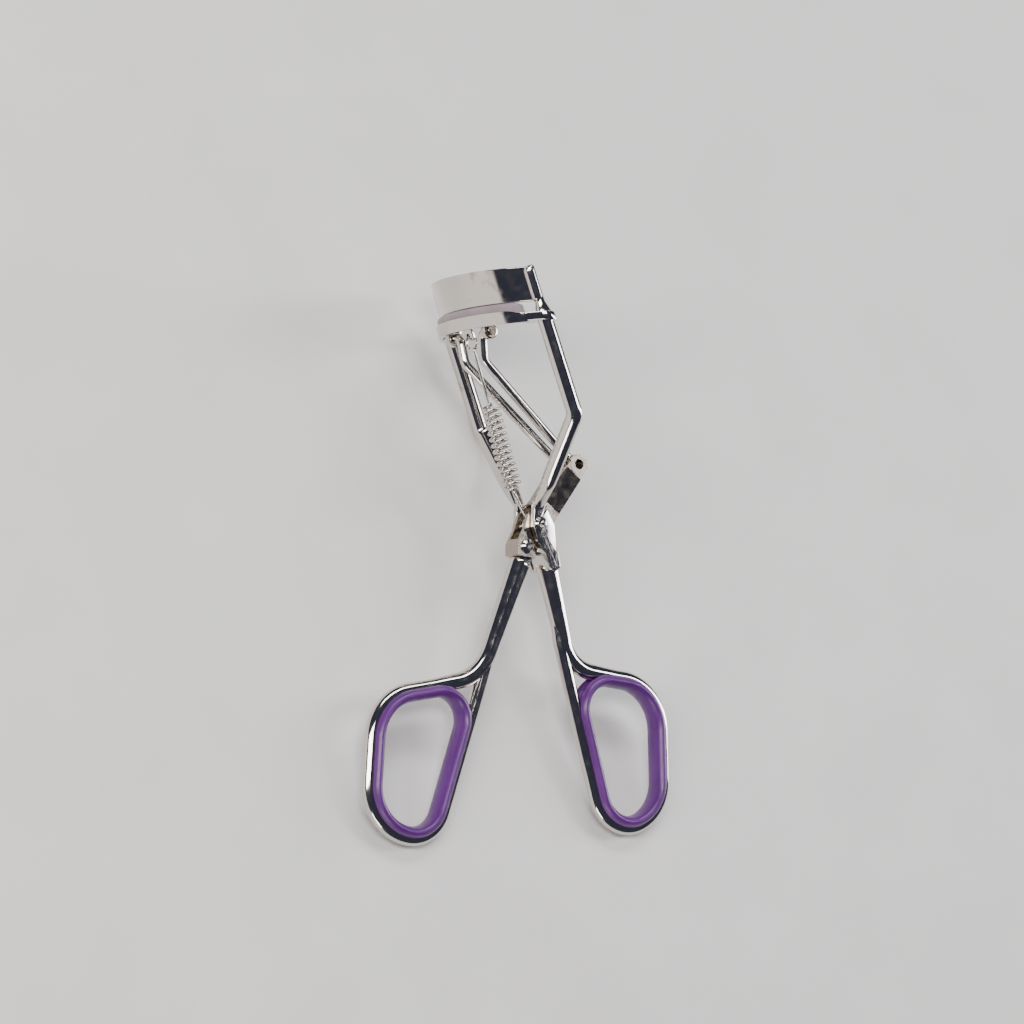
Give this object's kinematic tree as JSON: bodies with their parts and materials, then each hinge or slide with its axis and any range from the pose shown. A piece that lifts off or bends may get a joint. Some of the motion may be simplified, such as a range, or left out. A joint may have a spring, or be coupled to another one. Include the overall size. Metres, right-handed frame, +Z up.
{
  "type": "eyelash curler",
  "caption": "Hand-held scissor tool whose looped handles slide a padded curved jaw up two rods against a fixed curved jaw.",
  "frame": {"origin": "centre of the bounding box's footprint, on the table that the curler lies on", "axes": "+Z up from the table, +Y along the tool from the finger loops to the jaws, +X across the handles towards the fixed one"},
  "size_m": [0.0664, 0.106, 0.0369],
  "materials": {
    "plated_steel": "bright nickel plate",
    "spring_wire": "bright drawn wire",
    "grip_vinyl": "satin vinyl",
    "pad_silicone": "matt silicone"
  },
  "bodies": {
    "frame": {"upper_jaw": "plated_steel", "near_side_rod": "plated_steel", "far_side_rod": "plated_steel", "frame_handle": "plated_steel", "frame_handle_grip": "grip_vinyl", "pivot_rivet": "plated_steel", "return_spring": "spring_wire"},
    "lever": {"lever_arm": "plated_steel", "lever_handle": "plated_steel", "lever_handle_grip": "grip_vinyl", "handle_rivet": "plated_steel"},
    "yoke": {"push_yoke": "plated_steel"},
    "lower_jaw": {"lower_jaw": "plated_steel", "lash_pad": "pad_silicone"}
  },
  "joints": [
    {"name": "handle_pivot", "type": "hinge", "parent": "frame", "child": "lever", "pos_m": [-0.00048, 0.00651, 0.01274], "axis": [-0.0245, 0.1883, -0.9818], "range_deg": [0, 22], "stiffness_Nm_per_rad": 0.05, "springref_deg": 28.65},
    {"name": "yoke_pivot", "type": "hinge", "parent": "lever", "child": "yoke", "pos_m": [0.00752, 0.01838, 0.01481], "axis": [-0.0245, 0.1883, -0.9818], "range_deg": [-26.5, 0]},
    {"name": "jaw_slide", "type": "slide", "parent": "frame", "child": "lower_jaw", "axis": [0.4162, -0.891, -0.1813], "range_m": [0, 0.0061], "deforming": ["return_spring"]}
  ],
  "couplings": [
    {"joint": "yoke_pivot", "follows": "handle_pivot", "ratio": -1.195},
    {"joint": "jaw_slide", "follows": "handle_pivot", "m_per_rad": 0.015699}
  ]
}
